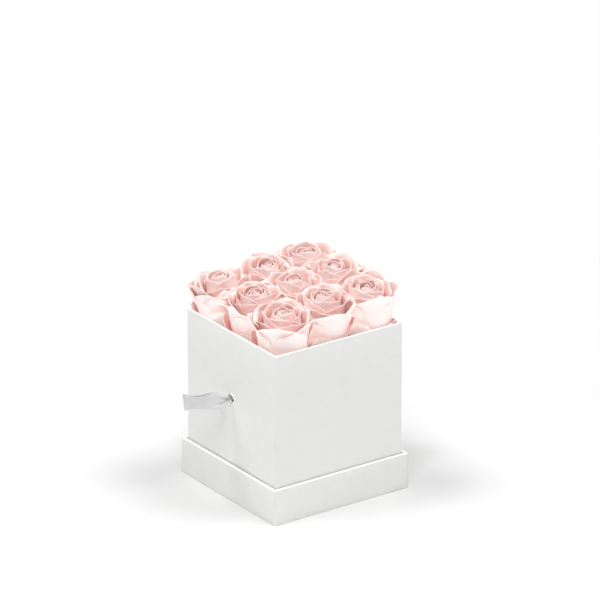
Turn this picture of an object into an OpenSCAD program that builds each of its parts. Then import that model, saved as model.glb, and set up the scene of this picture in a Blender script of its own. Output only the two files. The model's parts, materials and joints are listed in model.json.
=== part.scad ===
// Flower box: a square rigid paper box of preserved roses, standing in its own upturned lid.
// Millimetres, +Z up. The origin is the centre of the lid's underside.
// The near corner is (-X, -Y). A ribbon loop leaves each of the X faces through an eyelet.

/* [Box] */
// Outer width and depth of the box
box_w = 150; // [120:1:200]
// Outer height of the box
box_h = 172; // [160:1:220]
// Thickness of the box's board
box_board_t = 1.8; // [1.2:0.1:3]

/* [Lid] */
// Height of the lid's walls
lid_h = 37; // [30:1:60]
// Thickness of the lid's board
lid_board_t = 2.4; // [1.5:0.1:4]
// Gap between the box and each wall of the lid
lid_gap = 1.6; // [0.8:0.1:4]

/* [Paper] */
// Thickness of the wrapping paper
wrap_t = 0.25; // [0.15:0.05:0.5]
// Thickness of the lining paper
lining_t = 0.25; // [0.15:0.05:0.5]
// Depth that the wrapping paper is turned in below a rim
turn_in = 15; // [8:1:22]

/* [Eyelets] */
// Distance of the eyelets below the box's rim
eyelet_drop = 70; // [60:1:90]
// Radius of the hole through an eyelet
eyelet_r = 4.7; // [3.4:0.1:6]
// Wall thickness of an eyelet's barrel
barrel_t = 0.4; // [0.3:0.1:0.8]
// Width of an eyelet's domed flange, which is half as high
flange_w = 1.5; // [1.4:0.1:3]
// Outer radius of the washer behind an eyelet
washer_r = 7; // [6.5:0.1:10]
// Thickness of the washer
washer_t = 0.5; // [0.3:0.1:1]

/* [Ribbon] */
// Width of the ribbon
ribbon_w = 15; // [10:1:20]
// Thickness of the ribbon, as a loop of stiffened satin
ribbon_t = 0.6; // [0.4:0.1:1]
// Reach of a loop from the face of the box to its end
loop_len = 54; // [45:1:80]
// Widest gap between the two runs of a loop
loop_gap = 9; // [7:0.5:14]
// Length over which a loop opens from its pinch to its full width
pinch_len = 16; // [12:1:24]
// Half the height of the ribbon where it is pinched in an eyelet
pinch_r = 2.2; // [1.6:0.1:2.8]
// Radius of the knot that holds a ribbon inside the box
knot_r = 6.5; // [6:0.5:8]

/* [Roses] */
// Distance between neighbouring roses
rose_pitch = 47; // [47:0.5:60]
// Radius of a bloom across its outer petals
bloom_r = 22.6; // [18:0.1:22.8]
// Length of a bloom from its base to the top of its heart
bloom_l = 50; // [45:1:54]
// Height of the calyx under a bloom
calyx_h = 9; // [6:0.5:10]
// Radius of a stem
stem_r = 2.4; // [1.5:0.1:3.5]
// Length of the stem under the calyx
stem_len = 30; // [20:1:38]

/* [Insert] */
// Distance of the card tray below the box's rim
tray_drop = 28; // [27:1:40]
// Thickness of the card tray
tray_t = 1.5; // [1:0.1:3]
// Radius of the tray's holes for the stems
tray_hole_r = 6; // [5:0.5:9]
// Gap round the foam block and the tray inside the box
insert_gap = 0.6; // [0.3:0.1:2]

/* [Hidden] */
BLOOMS = 9;
PER_ROW = 3;
ROSE_PARTS = ["outer_petals", "inner_petals", "heart", "calyx", "stem"];

paper = "#F4F4F2";
board = "#B9B2A4";
silver = "#D9DBD8";
satin = "#E3E1E2";
foam_green = "#6F8F5E";
petal_pink = "#FBE3DF";
petal_deep = "#F3C9C5";
leaf = "#5E7A45";

$fn = 64;
cut = 1;              // how far a cutting shape runs past what it cuts
seam = 0.06;          // hairline between two edges of paper that meet
fit = 0.1;            // play of a stem, barrel or washer in its hole

// walls, from the outside in: wrap, board, then the thicker of turned-in wrap and lining
inner_t = max(wrap_t, lining_t);
box_wall = wrap_t + box_board_t + inner_t;
lid_wall = wrap_t + lid_board_t + inner_t;
lid_w = box_w + 2 * (lid_gap + lid_wall);
box_inner_w = box_w - 2 * box_wall;

// levels
box_z = wrap_t + lid_board_t + lining_t;
rim_z = box_z + box_h;
eyelet_z = rim_z - eyelet_drop;
floor_z = box_z + wrap_t + box_board_t + lining_t;
tray_z = rim_z - tray_drop;
foam_top_z = tray_z - tray_t;

// eyelets
barrel_r = eyelet_r + barrel_t;
hole_r = barrel_r + fit;
lined_t = wrap_t + box_board_t + lining_t;
curl_r = 0.6;

// ribbons: the neck stays with the box, and the loop swings on its pinched root
neck_out = 1.5;       // how far the neck stands out of the face
swing_gap = 0.3;      // between the neck's end and the loop's round root
hinge_out = neck_out + swing_gap + pinch_r;
hinge_x = box_w / 2 + hinge_out;
loop_turn = 9;        // degrees that a loop leans back, towards +Y
loop_rise = 4;        // degrees that a loop points up
knot_x = box_w / 2 - lined_t - washer_t - 2 * curl_r - knot_r;
tail_len = 22;
tail_w = 9;
tail_splay = 8;
pocket_gap = 3.5;
pocket_drop = 40;     // depth of the foam's pocket below the eyelet

// roses: offset of the heart from its cell, height above the rim, lean and turn in degrees
//        dx  dy  up  lean_x lean_y turn
rose_set = [
  [0, 0, 33, -6, -7, 10],
  [0, 0, 39, -4, -8, 50],
  [4, -3, 37, 1, -8, 25],
  [0, 0, 37, -8, -5, 60],
  [0, 0, 40, -5, -6, 35],
  [0, 0, 43, -3, -6, 5],
  [-6, 6, 37, -9, 5, 45],
  [0, 0, 39, -4, -4, 15],
  [0, 0, 38, -3, -4, 65]
];

// radius of a cup as a share of its fullest, against height as a share of its length
cup = [[0, 0], [0.08, 0.42], [0.2, 0.76], [0.4, 0.94], [0.7, 1], [1, 1]];
petal_t = 1;
petals = 5;
petal_gap = 1.5;      // degrees between neighbouring petals
outer_l = bloom_l - 6;
inner_l = bloom_l - 4;
inner_r = bloom_r - 4;
outer_base_r = 7.5;
inner_base_r = 5.5;
heart_base_r = 3.5;
heart_gap = 3;        // between the inner petals and the bud
// the bud's side, as shares of its fullest radius and of its length
bud_side = [[0.7, 0.12], [1, 0.36]];
// its furrowed tip, from its fullest radius inwards and from its top down
bud_tip = [[0, 12], [3, 7], [4, 7], [5, 11], [6, 11], [7, 3], [8, 3], [9, 8], [10, 8]];
tip_r = 2;
sepal_r = 16;         // reach of the sepals from the bloom's axis
sepal_t = 0.6;
sepal_a = 36;         // degrees that each sepal spans
sepal_dip = 0.4;      // from the bloom's base down to a sepal's tip

// ---- paper and board ----

module block(w, z_low, z_high) {
  translate([-w / 2, -w / 2, z_low])
    cube([w, w, z_high - z_low]);
}

module ring(w_out, w_in, z_low, z_high) {
  difference() {
    block(w_out, z_low, z_high);
    block(w_in, z_low - cut, z_high + cut);
  }
}

// open box of board: w is its outer width
module board_tray(w, t, z_low, z_high) {
  difference() {
    block(w, z_low, z_high);
    block(w - 2 * t, z_low + t, z_high + cut);
  }
}

// wrapping paper: a sheet under the floor, and four strips that go up, over the rim and in
module paper_wrap(w, wall, z_low, z_high) {
  block(w, z_low, z_low + wrap_t);
  for (a = [0:90:270])
    rotate(a)
      intersection() {
        union() {
          ring(w, w - 2 * wrap_t, z_low + wrap_t + seam, z_high);
          ring(w, w - 2 * wall, z_high - wrap_t, z_high);
          ring(w - 2 * (wall - inner_t), w - 2 * (wall - inner_t + wrap_t), z_high - turn_in, z_high);
        }
        translate([seam, 0, z_low])
          linear_extrude(height = z_high - z_low)
            polygon([[0, 0], [w, -w], [w, w]]);
      }
}

// lining paper: w is the inner width of the board that it covers
module paper_lining(w, z_low, z_high) {
  difference() {
    block(w, z_low, z_high);
    block(w - 2 * lining_t, z_low + lining_t, z_high + cut);
  }
}

module eyelet_holes() {
  translate([0, 0, eyelet_z])
    rotate([0, 90, 0])
      cylinder(r = hole_r, h = box_w + 2 * cut, center = true);
}

module lid_board() {
  color(board)
    board_tray(lid_w - 2 * wrap_t, lid_board_t, wrap_t, lid_h - wrap_t);
}

module lid_wrap() {
  color(paper)
    paper_wrap(lid_w, lid_wall, 0, lid_h);
}

module lid_lining() {
  color(paper)
    paper_lining(lid_w - 2 * (wrap_t + lid_board_t), wrap_t + lid_board_t, lid_h - turn_in - seam);
}

module box_board() {
  color(board)
    difference() {
      board_tray(box_w - 2 * wrap_t, box_board_t, box_z + wrap_t, rim_z - wrap_t);
      eyelet_holes();
    }
}

module box_wrap() {
  color(paper)
    difference() {
      paper_wrap(box_w, box_wall, box_z, rim_z);
      eyelet_holes();
    }
}

module box_lining() {
  color(paper)
    difference() {
      paper_lining(box_w - 2 * (wrap_t + box_board_t), floor_z - lining_t, rim_z - turn_in - seam);
      eyelet_holes();
    }
}

// ---- eyelets ----

// puts a child that points along +Z at the eyelets of both X faces
module at_eyelets() {
  for (side = [0, 1])
    mirror([side, 0, 0])
      translate([box_w / 2, 0, eyelet_z])
        rotate([0, 90, 0])
          children();
}

module eyelets() {
  color(silver)
    at_eyelets()
      rotate_extrude() {
        translate([eyelet_r, -lined_t - washer_t - curl_r])
          square([barrel_t, lined_t + washer_t + curl_r]);
        translate([eyelet_r + flange_w / 2, 0])
          intersection() {
            circle(r = flange_w / 2);
            translate([-flange_w, 0])
              square(2 * flange_w);
          }
        translate([eyelet_r + curl_r, -lined_t - washer_t - curl_r])
          circle(r = curl_r);
      }
}

module eyelet_washers() {
  color(silver)
    at_eyelets()
      translate([0, 0, -lined_t - washer_t])
        difference() {
          cylinder(r = washer_r, h = washer_t);
          translate([0, 0, -cut])
            cylinder(r = hole_r, h = washer_t + 2 * cut);
        }
}

// ---- ribbons ----

// outline of a closed loop, half thick at its root, grown by g
module loop_outline(reach, g) {
  end_r = loop_gap / 2 + g;
  translate([reach - loop_gap / 2 - ribbon_t, 0])
    circle(r = end_r);
  polygon([[0, -g], [reach - loop_gap / 2 - ribbon_t, -end_r],
    [reach - loop_gap / 2 - ribbon_t, end_r], [0, g]]);
}

module ribbon_loop() {
  reach = loop_len - hinge_out;
  rotate([90, 0, 0])
    cylinder(r = pinch_r, h = 2 * pinch_r, center = true);
  rotate([0, -loop_rise, loop_turn])
    intersection() {
      linear_extrude(height = ribbon_w, center = true)
        difference() {
          loop_outline(reach, ribbon_t);
          loop_outline(reach, 0);
        }
      rotate([90, 0, 0])
        linear_extrude(height = 2 * ribbon_w, center = true)
          polygon([[0, -pinch_r], [pinch_len, -ribbon_w / 2], [reach, -ribbon_w / 2],
            [reach, ribbon_w / 2], [pinch_len, ribbon_w / 2], [0, pinch_r]]);
    }
}

// neck through the eyelet, knot and two tails, for the +X face
module ribbon_knot() {
  translate([knot_x, 0, eyelet_z]) {
    sphere(r = knot_r);
    rotate([0, 90, 0])
      cylinder(r = pinch_r, h = box_w / 2 + neck_out - knot_x);
    for (s = [-1, 1])
      rotate([s * tail_splay, 0, 0])
        translate([-ribbon_t, -tail_w / 2, -knot_r - tail_len])
          cube([2 * ribbon_t, tail_w, knot_r + tail_len]);
  }
}

module ribbon_left_loop() {
  color(satin)
    mirror([1, 0, 0])
      translate([hinge_x, 0, eyelet_z])
        ribbon_loop();
}

module ribbon_right_loop() {
  color(satin)
    translate([hinge_x, 0, eyelet_z])
      ribbon_loop();
}

module ribbon_left_knot() {
  color(satin)
    mirror([1, 0, 0])
      ribbon_knot();
}

module ribbon_right_knot() {
  color(satin)
    ribbon_knot();
}

// ---- roses ----

// puts a child whose origin is a bloom's base, and whose +Z runs to its heart, at rose i of 1 to 9
module at_rose(i) {
  s = rose_set[i - 1];
  col = (i - 1) % PER_ROW - 1;
  row = floor((i - 1) / PER_ROW) - 1;
  translate([col * rose_pitch + s[0], row * rose_pitch + s[1], rim_z + s[2]])
    rotate([-s[4], s[3], 0])
      rotate(s[5])
        translate([0, 0, -bloom_l])
          children();
}

function cup_edge(r_low, r_full, l) = [for (c = cup) [r_low + (r_full - r_low) * c[1], l * c[0]]];
function reversed(list) = [for (k = [len(list) - 1:-1:0]) list[k]];

// a ring of petals: wedges of one thin cup
module whorl(r_low, r_full, l, turn) {
  outside = cup_edge(r_low, r_full, l);
  inside = [for (p = reversed(outside)) [p[0] - petal_t, p[1]]];
  for (k = [0:petals - 1])
    rotate(turn + k * 360 / petals)
      rotate_extrude(angle = 360 / petals - petal_gap)
        polygon(concat(outside, inside));
}

module rose_outer_petals(i) {
  color(petal_pink)
    at_rose(i)
      whorl(outer_base_r, bloom_r, outer_l, 0);
}

module rose_inner_petals(i) {
  color(petal_pink)
    at_rose(i)
      whorl(inner_base_r, inner_r, inner_l, 180 / petals);
}

// the closed bud in the middle, with two furrows round its tip
module rose_heart(i) {
  full_r = inner_r - petal_t - heart_gap;
  side = [for (b = bud_side) [full_r * b[0], bloom_l * b[1]]];
  tip = [for (b = bud_tip) [full_r - b[0], bloom_l - b[1]]];
  color(petal_deep)
    at_rose(i)
      rotate_extrude()
        polygon(concat([[0, 0], [heart_base_r, 0]], side, tip, [[tip_r, bloom_l], [0, bloom_l]]));
}

// receptacle, and a thin sepal under each outer petal
module rose_calyx(i) {
  neck_r = outer_base_r - 0.5;
  sepal_z = -calyx_h * 0.4;
  color(leaf)
    at_rose(i) {
      rotate_extrude()
        polygon([[0, -calyx_h], [stem_r + 1, -calyx_h], [neck_r, -calyx_h / 2], [outer_base_r, 0], [0, 0]]);
      for (k = [0:petals - 1])
        rotate(k * 360 / petals)
          rotate_extrude(angle = sepal_a)
            polygon([[outer_base_r - 1, sepal_z], [sepal_r, -sepal_dip - sepal_t],
              [sepal_r, -sepal_dip], [outer_base_r - 1, sepal_z + 2 * sepal_t]]);
    }
}

module rose_stem(i) {
  color(leaf)
    at_rose(i)
      translate([0, 0, -calyx_h - stem_len])
        cylinder(r = stem_r, h = stem_len);
}

// ---- insert ----

module foam_block() {
  knot_in = box_w / 2 - box_wall - knot_x + knot_r + pocket_gap;
  pocket_w = 2 * (knot_r + pocket_gap);
  color(foam_green)
    difference() {
      block(box_inner_w - 2 * insert_gap, floor_z, foam_top_z);
      for (side = [0, 1])
        mirror([side, 0, 0])
          translate([box_w / 2 - box_wall - knot_in, -pocket_w / 2, eyelet_z - pocket_drop])
            cube([knot_in + cut, pocket_w, box_h]);
      for (i = [1:BLOOMS])
        at_rose(i)
          translate([0, 0, -calyx_h - stem_len - fit])
            cylinder(r = stem_r + fit, h = bloom_l);
    }
}

module rose_tray() {
  color(board)
    difference() {
      block(box_inner_w - 2 * insert_gap, foam_top_z, tray_z);
      for (i = [1:BLOOMS])
        at_rose(i)
          translate([0, 0, -calyx_h - stem_len])
            cylinder(r = tray_hole_r, h = bloom_l);
    }
}

lid_board();
lid_wrap();
lid_lining();
box_board();
box_wrap();
box_lining();
eyelets();
eyelet_washers();
ribbon_left_loop();
ribbon_left_knot();
ribbon_right_loop();
ribbon_right_knot();
foam_block();
rose_tray();
for (i = [1:BLOOMS]) rose_outer_petals(i);
for (i = [1:BLOOMS]) rose_inner_petals(i);
for (i = [1:BLOOMS]) rose_heart(i);
for (i = [1:BLOOMS]) rose_calyx(i);
for (i = [1:BLOOMS]) rose_stem(i);
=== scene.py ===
"""Flower box: a white rigid paper box of preserved roses, standing in its own upturned lid."""

import json
import math

import bpy
import bmesh
import numpy as np
from mathutils import Euler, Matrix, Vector


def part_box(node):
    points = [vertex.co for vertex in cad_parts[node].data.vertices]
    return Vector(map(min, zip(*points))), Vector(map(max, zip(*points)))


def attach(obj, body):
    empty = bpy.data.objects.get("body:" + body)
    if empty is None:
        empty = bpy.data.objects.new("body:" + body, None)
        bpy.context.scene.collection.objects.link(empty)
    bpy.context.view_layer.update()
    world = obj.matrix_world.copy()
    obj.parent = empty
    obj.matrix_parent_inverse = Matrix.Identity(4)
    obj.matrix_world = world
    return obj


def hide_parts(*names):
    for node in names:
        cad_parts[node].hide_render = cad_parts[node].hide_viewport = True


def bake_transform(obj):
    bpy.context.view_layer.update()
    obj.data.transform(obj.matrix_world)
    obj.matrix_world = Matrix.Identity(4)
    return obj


bl_info = {
    "name": "Flower box",
    "version": (1, 0, 0),
    "blender": (4, 5, 0),
    "location": "3D View > Sidebar > Flower box",
    "description": "Builds a paper flower box of preserved roses round its packed frame",
    "category": "Add Mesh",
}

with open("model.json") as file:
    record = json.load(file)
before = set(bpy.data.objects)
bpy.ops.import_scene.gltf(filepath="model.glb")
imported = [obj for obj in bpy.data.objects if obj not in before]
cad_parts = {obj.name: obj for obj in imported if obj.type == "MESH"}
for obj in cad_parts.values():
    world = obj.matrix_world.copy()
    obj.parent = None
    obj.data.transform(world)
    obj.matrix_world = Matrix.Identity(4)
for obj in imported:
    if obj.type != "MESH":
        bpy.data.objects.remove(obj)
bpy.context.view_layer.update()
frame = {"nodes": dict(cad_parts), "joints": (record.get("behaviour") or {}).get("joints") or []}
MM = 0.001
ROSES = range(1, 10)


# ---- small helpers

def linear(hex_colour):
    """sRGB hex to linear RGBA."""
    channels = [int(hex_colour[k:k + 2], 16) / 255 for k in (1, 3, 5)]
    return tuple(c / 12.92 if c <= 0.04045 else ((c + 0.055) / 1.055) ** 2.4 for c in channels) + (1.0,)


def smooth(x, low=0.0, high=1.0):
    """Smoothstep from low to high."""
    x = np.clip((x - low) / (high - low), 0.0, 1.0)
    return x * x * (3 - 2 * x)


def node_points(node):
    """Vertices of a CAD node, in millimetres."""
    mesh = frame["nodes"][node].data
    flat = np.zeros(len(mesh.vertices) * 3)
    mesh.vertices.foreach_get("co", flat)
    return flat.reshape(-1, 3) / MM


def put(name, data):
    """Puts data into the scene as an object."""
    made = bpy.data.objects.new(name, data)
    bpy.context.scene.collection.objects.link(made)
    return made


def new_piece(name, mesh, finish, body, slot, *replaced):
    """Puts in a finished mesh as a piece of the object that rides on a body, in place of CAD nodes."""
    piece = put(name, mesh)
    mesh.materials.clear()
    mesh.materials.append(material(finish))
    mesh.polygons.foreach_set("use_smooth", [True] * len(mesh.polygons))
    if body:
        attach(piece, body)
    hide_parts(*replaced)
    return piece


def mesh_from(name, points_mm, faces):
    """Mesh from points in millimetres."""
    mesh = bpy.data.meshes.new(name)
    mesh.from_pydata([tuple(p) for p in np.asarray(points_mm) * MM], [], faces)
    mesh.validate()
    mesh.update()
    return mesh


def outward(mesh):
    """Turns the faces of closed shells outwards."""
    bm = bmesh.new()
    bm.from_mesh(mesh)
    bmesh.ops.remove_doubles(bm, verts=bm.verts, dist=1e-7)
    bmesh.ops.recalc_face_normals(bm, faces=bm.faces)
    bm.to_mesh(mesh)
    bm.free()


# ---- materials

def add(tree, kind, settings=None, **links):
    """Adds a node. settings sets its properties and, by name, its sockets; links joins its inputs."""
    node = tree.nodes.new(kind)
    for key, value in (settings or {}).items():
        if hasattr(node, key):
            setattr(node, key, value)
        else:
            socket_of(node, key).default_value = value
    for key, source in links.items():
        tree.links.new(source, socket_of(node, key))
    return node


def socket_of(node, key):
    """An input by its name, or by its place when written i0, i1 and so on."""
    return node.inputs[int(key[1:])] if key[0] == "i" and key[1:].isdigit() else node.inputs[key]


def new_material(name, **sockets):
    """A Principled material and its tree. sockets are constants on the shader itself."""
    material = bpy.data.materials.new(name)
    material.use_nodes = True
    tree = material.node_tree
    shader = tree.nodes["Principled BSDF"]
    for key, value in sockets.items():
        shader.inputs[key.replace("_", " ")].default_value = value
    return material, tree


def joined(material, **sources):
    """The material with outputs joined to its shader's inputs."""
    tree = material.node_tree
    for key, source in sources.items():
        tree.links.new(source, tree.nodes["Principled BSDF"].inputs[key.replace("_", " ")])
    return material


def object_place(tree):
    """Place in the object, in metres."""
    return add(tree, "ShaderNodeTexCoord").outputs["Object"]


def uv_stretch(tree, across, up):
    """Place in the UV map, and the same place scaled across and up."""
    place = add(tree, "ShaderNodeUVMap", {"uv_map": "UVMap"}).outputs["UV"]
    return place, add(tree, "ShaderNodeMapping", {"Scale": (across, up, 1.0)}, Vector=place).outputs["Vector"]


def noise(tree, place, scale, detail=2.0):
    """Fractal noise, 0 to 1."""
    return add(tree, "ShaderNodeTexNoise", {"Scale": scale, "Detail": detail}, Vector=place).outputs["Fac"]


def span(tree, value, low, high, start=0.0, end=1.0):
    """A value from start to end spread over low to high."""
    reach = {"From Min": start, "From Max": end, "To Min": low, "To Max": high}
    return add(tree, "ShaderNodeMapRange", reach, Value=value).outputs["Result"]


def relief(tree, height, strength, depth):
    """Normal of a bump as deep as this in metres."""
    bump = add(tree, "ShaderNodeBump", {"Strength": strength, "Distance": depth}, Height=height)
    return bump.outputs["Normal"]


def ramp(tree, value, *stops):
    """Colour of a value, by stops of (place, hex)."""
    node = add(tree, "ShaderNodeValToRGB", i0=value)
    elements = node.color_ramp.elements
    while len(elements) < len(stops):
        elements.new(1.0)
    for element, (place, colour) in zip(elements, stops):
        element.position = place
        element.color = linear(colour)
    return node.outputs["Color"]


def paper_material(name, low, high, roughness):
    """Matt coated paper over board: fine felt-side fibre, faint mottle, no gloss.

    Along the rim its points are painted almost white: a painted highlight where the light catches the rim's
    top.
    """
    material, tree = new_material(name, Specular_IOR_Level=0.3)
    place = object_place(tree)
    # fibres about 0.5 mm across
    fibre = noise(tree, place, 2000.0, 3.0)
    # mottle of the pulp, about 12 mm across
    mottle = noise(tree, place, 80.0)
    # the rim's points are painted almost white: a painted highlight on the rim's top
    fold = add(tree, "ShaderNodeAttribute", {"attribute_name": "fold"})
    paper = add(tree, "ShaderNodeMix", {"data_type": "RGBA", "i7": linear("#FEFEFD")},
                i0=fold.outputs["Fac"], i6=ramp(tree, mottle, (0.3, low), (0.7, high)))
    return joined(material, Base_Color=paper.outputs[2], Normal=relief(tree, fibre, 0.25, 0.05 * MM),
                  Roughness=span(tree, fibre, roughness - 0.06, roughness + 0.06))


def greyboard_material():
    """Greyboard of recycled pulp: dull and flecked."""
    material, tree = new_material("greyboard", Roughness=0.92)
    fleck = noise(tree, object_place(tree), 900.0, 4.0)
    return joined(material, Base_Color=ramp(tree, fleck, (0.35, "#A49D8F"), (0.65, "#C2BBAD")),
                  Normal=relief(tree, fleck, 0.4, 0.1 * MM))


def foam_material():
    """Dry floral foam: open phenolic cells, chalky, no gloss."""
    material, tree = new_material("dry_floral_foam", Roughness=0.95)
    # the cells are drawn 1.5 mm across, coarser than the real ones, so that they show
    foam = add(tree, "ShaderNodeTexVoronoi", {"Scale": 650.0}, Vector=object_place(tree))
    cell = foam.outputs["Distance"]
    return joined(material, Base_Color=ramp(tree, cell, (0.0, "#54683F"), (0.6, "#83996B")),
                  Normal=relief(tree, cell, 0.6, 0.4 * MM))


def nickel_material():
    """Nickel-plated brass, stamped and barrel polished: bright, with faint wear."""
    material, tree = new_material("nickel_plate", Metallic=1.0)
    wear = noise(tree, object_place(tree), 1500.0)
    return joined(material, Base_Color=ramp(tree, wear, (0.3, "#ECECE8"), (0.7, "#F6F6F3")),
                  Roughness=span(tree, wear, 0.2, 0.34))


def satin_material():
    """Double-faced polyester satin: floats run along the ribbon, so it shines across them."""
    material, tree = new_material("satin_ribbon", Anisotropic=0.6, Sheen_Weight=0.15, Specular_IOR_Level=0.45)
    # the UV map is in millimetres; the warp threads are drawn 0.35 mm apart
    _, stretched = uv_stretch(tree, 0.12, 2.9)
    thread = noise(tree, stretched, 1.0)
    return joined(material, Base_Color=ramp(tree, thread, (0.3, "#DEDCDE"), (0.7, "#EAE9EB")),
                  Roughness=span(tree, thread, 0.34, 0.48), Normal=relief(tree, thread, 0.2, 0.04 * MM))


def petal_material(name, inside, outside, painted_glow_strength):
    """Preserved rose petal: dyed blush, soft and slightly moist, paler on its reverse.

    Each side has four colours, from the claw to the lip. Their darkening towards the claw is partly the
    petals' dye and partly painted shade deep in the bloom.
    """
    material, tree = new_material(
        name, Subsurface_Weight=0.35, Subsurface_Scale=3.5 * MM, Subsurface_Radius=(1.0, 0.38, 0.32),
        Sheen_Weight=0.12, Sheen_Roughness=0.5, Specular_IOR_Level=0.3)
    # the UV map runs across and up the petal, 0 to 1; veins fan up it, about 1.3 mm apart at its widest
    place, fanned = uv_stretch(tree, 34.0, 2.2)
    vein = noise(tree, fanned, 1.0, 3.0)
    up = add(tree, "ShaderNodeSeparateXYZ", Vector=place).outputs["Y"]
    # uneven dye, in clouds about 15 mm across, moves the colours up and down
    cloud = noise(tree, object_place(tree), 70.0)
    height = add(tree, "ShaderNodeMath", {"operation": "MULTIPLY_ADD", "i1": 0.22}, i0=cloud, i2=up)
    shift = add(tree, "ShaderNodeMath", {"operation": "SUBTRACT", "i1": 0.11}, i0=height.outputs[0])
    heights = (0.08, 0.42, 0.88, 0.985)
    tones = [ramp(tree, shift.outputs[0], *zip(heights, side)) for side in (inside, outside)]
    skin = add(tree, "ShaderNodeAttribute", {"attribute_name": "reverse"}).outputs["Fac"]
    dye = add(tree, "ShaderNodeMix", {"data_type": "RGBA"}, i0=skin, i6=tones[0], i7=tones[1])
    dyed = add(tree, "ShaderNodeVectorMath", {"operation": "SCALE"}, i0=dye.outputs[2],
               Scale=span(tree, vein, 0.97, 1.02, 0.3, 0.7))
    # painted light: a weak glow stands in for the light that soaks through the petals, most on their pale
    # reverse, and lifts the shade in the creases
    light = {"data_type": "RGBA", "i6": linear("#FFB9B0"), "i7": linear("#FFE9E3")}
    painted_glow_colour = add(tree, "ShaderNodeMix", light, i0=skin)
    return joined(material, Base_Color=dyed.outputs["Vector"], Emission_Color=painted_glow_colour.outputs[2],
                  Emission_Strength=span(tree, skin, 0.04, painted_glow_strength),
                  Roughness=span(tree, vein, 0.42, 0.62), Normal=relief(tree, vein, 0.35, 0.2 * MM))


def leaf_material(name, low, high):
    """Preserved sepal or stem: glycerine-treated green, waxy, streaked along its length."""
    material, tree = new_material(name, Roughness=0.55)
    streak = noise(tree, object_place(tree), 500.0, 3.0)
    return joined(material, Base_Color=ramp(tree, streak, (0.3, low), (0.7, high)),
                  Normal=relief(tree, streak, 0.4, 0.2 * MM))


def floor_material():
    """Seamless white studio paper, lit until it burns out."""
    material, tree = new_material("studio_floor", Roughness=1.0, Specular_IOR_Level=0.0)
    grain = noise(tree, object_place(tree), 3.0)
    return joined(material, Base_Color=ramp(tree, grain, (0.0, "#DDDDDD"), (1.0, "#DFDFDF")))


# each finish: the function that makes it and what that function is given
FINISHES = {
    "white_paper": (paper_material, "white_wrapping_paper", "#EFEFED", "#F1F1EF", 0.62),
    "white_lining": (paper_material, "white_lining_paper", "#EAEAE8", "#EDEDEB", 0.7),
    "tray_card": (paper_material, "white_tray_card", "#E9E9E6", "#F0F0ED", 0.75),
    "greyboard": (greyboard_material,),
    "floral_foam": (foam_material,),
    "nickel": (nickel_material,),
    "satin_ribbon": (satin_material,),
    # the petal colours darken from lip to claw, the heart's most: partly dye, partly painted shade deep in
    # the bloom; the outer petals' reverse is painted near white, partly painted light
    "pale_petal": (petal_material, "pale_petal", ("#DC9893", "#EABDB8", "#F0CFCA", "#F8E2DE"),
                   ("#F2C8C3", "#FFF4F1", "#FFF9F7", "#FFF9F7"), 0.25),
    "blush_petal": (petal_material, "blush_petal", ("#DB9490", "#E8B8B3", "#EECBC6", "#F8E0DC"),
                    ("#E8B7B2", "#F1D0CB", "#F5DBD7", "#FBE8E4"), 0.08),
    "heart_petal": (petal_material, "heart_petal", ("#CD8481", "#E1AEAA", "#EAC4BF", "#F6DCD8"),
                    ("#DB9894", "#EBC3BF", "#F1D1CD", "#F9E3DF"), 0.06),
    "sepal": (leaf_material, "preserved_sepal", "#4F6534", "#728A4C"),
    "rose_stem": (leaf_material, "preserved_stem", "#5A6A38", "#7C8B50"),
    "studio_floor": (floor_material,),
}
MADE = {}


def material(name):
    """A finish by its name, made once."""
    if name not in MADE:
        maker, *given = FINISHES[name]
        MADE[name] = maker(*given)
    return MADE[name]


# ---- user settings

class FlowerBoxPaper(bpy.types.PropertyGroup):
    corner: bpy.props.FloatProperty(
        name="Corner radius", description="Radius of the wrapped upright edges",
        default=0.9 * MM, unit="LENGTH")
    rim: bpy.props.FloatProperty(
        name="Rim radius", description="Radius of the wrapped rim's edges",
        default=0.35 * MM, unit="LENGTH")


class FlowerBoxRoses(bpy.types.PropertyGroup):
    petal_thickness: bpy.props.FloatProperty(
        name="Petal thickness", description="Thickness of a preserved petal",
        default=0.55 * MM, unit="LENGTH")
    cup_radius: bpy.props.FloatProperty(
        name="Cup radius", description="Radius of the outermost cup of petals",
        default=27.0 * MM, unit="LENGTH")
    seed: bpy.props.IntProperty(
        name="Seed", description="Seed of the petals' irregularity", default=7)


class FlowerBoxRibbon(bpy.types.PropertyGroup):
    width: bpy.props.FloatProperty(
        name="Ribbon width", description="Width of the satin ribbon", default=15 * MM, unit="LENGTH")
    thickness: bpy.props.FloatProperty(
        name="Ribbon thickness", description="Thickness of the satin ribbon",
        default=0.35 * MM, unit="LENGTH")


class FlowerBoxStage(bpy.types.PropertyGroup):
    key: bpy.props.FloatProperty(
        name="Key strength", description="Strength of the soft light on each side", default=1.42)
    front: bpy.props.FloatProperty(
        name="Front strength", description="Strength of the soft light above the camera", default=1.24)
    fill: bpy.props.FloatProperty(
        name="Sky strength", description="Strength of the even white surroundings", default=0.22)


# ---- stage

# the camera's place in metres, its turn and tilt in degrees and its focal length in millimetres
CAMERA_PLACE = (-3.802, -5.403, 2.964)
CAMERA_TURN, CAMERA_TILT = 35.18, 22.77
FOCAL_LENGTH = 443.1
FLOOR_RADIUS = 30.0
# brightness of the white room in reflections, where it is brighter than the light that it gives
ROOM_REFLECTED = 1.0
# each soft light: the direction it comes from, its spread in degrees and the setting of its strength
SOFT_LIGHTS = {
    "left_key": ((-0.33, 0.233, 0.915), 21, "key"),
    "right_key": ((0.33, -0.233, 0.915), 21, "key"),
    "front_top": ((-0.42, -0.50, 1.0), 30, "front"),
}


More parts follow.
